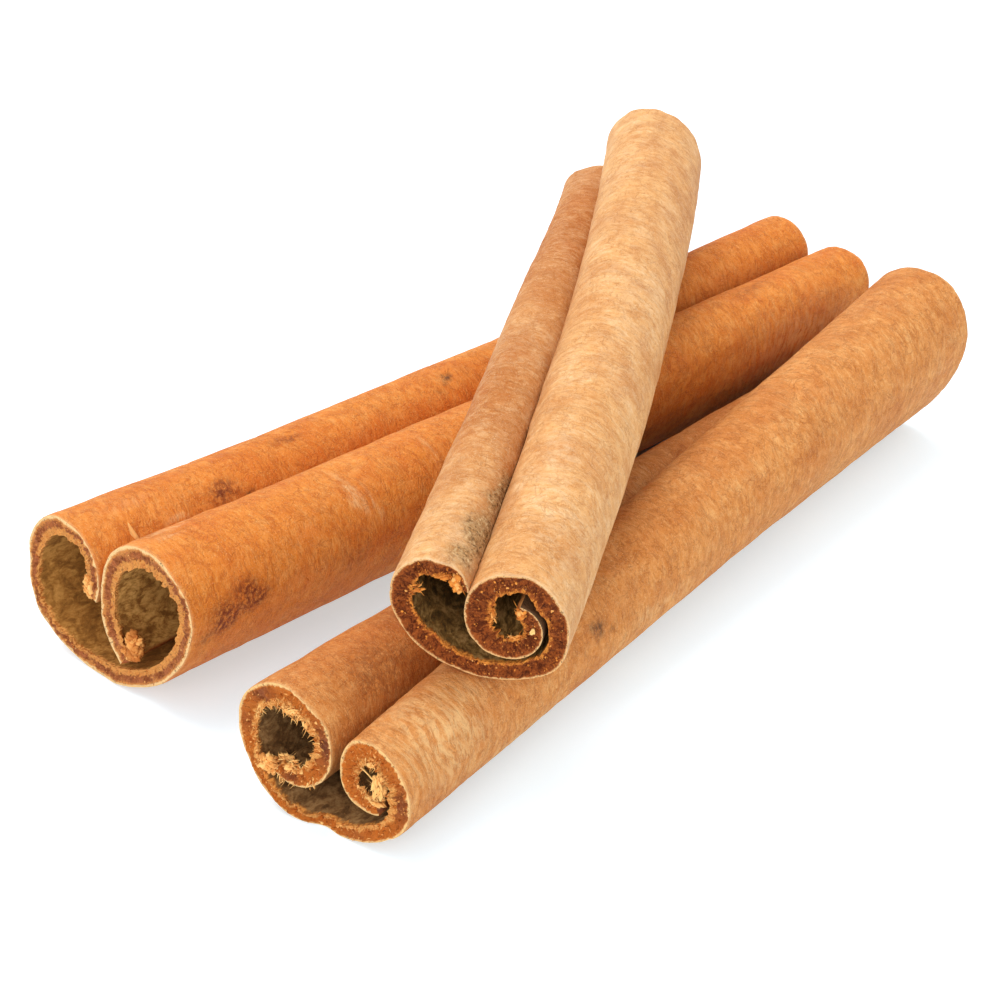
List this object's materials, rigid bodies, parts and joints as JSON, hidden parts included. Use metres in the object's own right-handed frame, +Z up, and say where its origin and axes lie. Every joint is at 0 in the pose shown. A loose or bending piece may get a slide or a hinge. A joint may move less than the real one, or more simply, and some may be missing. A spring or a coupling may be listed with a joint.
{
  "type": "stack of cinnamon sticks",
  "caption": "Stack of cinnamon sticks: rolled bark quills with double-scroll ends, laid side by side with one resting across on top.",
  "frame": {"origin": "middle of the stack's footprint, on the surface it lies on", "axes": "+Y along the lower left stick towards its far end, +Z up, +X towards the lower right stick"},
  "size_m": [0.0524, 0.0818, 0.0253],
  "materials": {
    "bark_left": "matte orange-brown bark",
    "bark_right": "matte tan-brown bark",
    "bark_top": "matte light tan bark"
  },
  "bodies": {
    "root": {"stick_left": "bark_left", "stick_right": "bark_right", "stick_top": "bark_top"}
  },
  "joints": []
}
